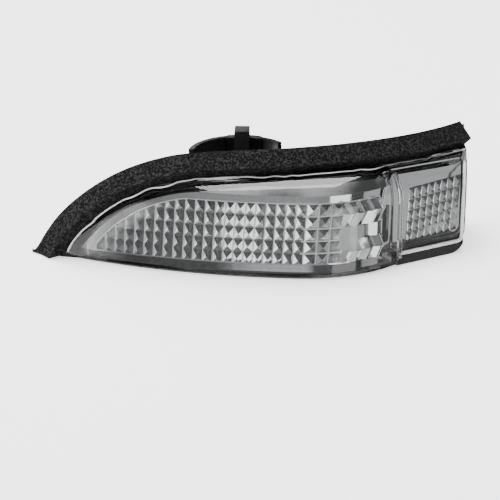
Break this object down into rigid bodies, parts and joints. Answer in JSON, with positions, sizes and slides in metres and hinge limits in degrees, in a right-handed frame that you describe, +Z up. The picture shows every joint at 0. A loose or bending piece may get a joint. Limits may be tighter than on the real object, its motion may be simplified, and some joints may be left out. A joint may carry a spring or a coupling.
{
  "type": "mirror turn signal lamp",
  "caption": "Side turn signal lamp for a door mirror: clear wrap-round lens, faceted reflector, black housing with bayonet bulb bore, spring arm and foam gasket.",
  "frame": {"origin": "on the flat base under the housing, in the middle of its length", "axes": "+Z up, -Y towards the lens, +X towards the wide end that wraps round the mirror"},
  "size_m": [0.1679, 0.0645, 0.0484],
  "materials": {
    "housing": "black moulded plastic, semi-gloss",
    "reflector": "vacuum metallised plastic",
    "lens": "clear moulded plastic",
    "foam": "open-cell charcoal foam",
    "vent": "breather membrane"
  },
  "bodies": {
    "root": {"rear_housing": "housing", "reflector": "reflector", "lens": "lens", "foam_gasket": "foam", "vent_patch": "vent"}
  },
  "joints": []
}
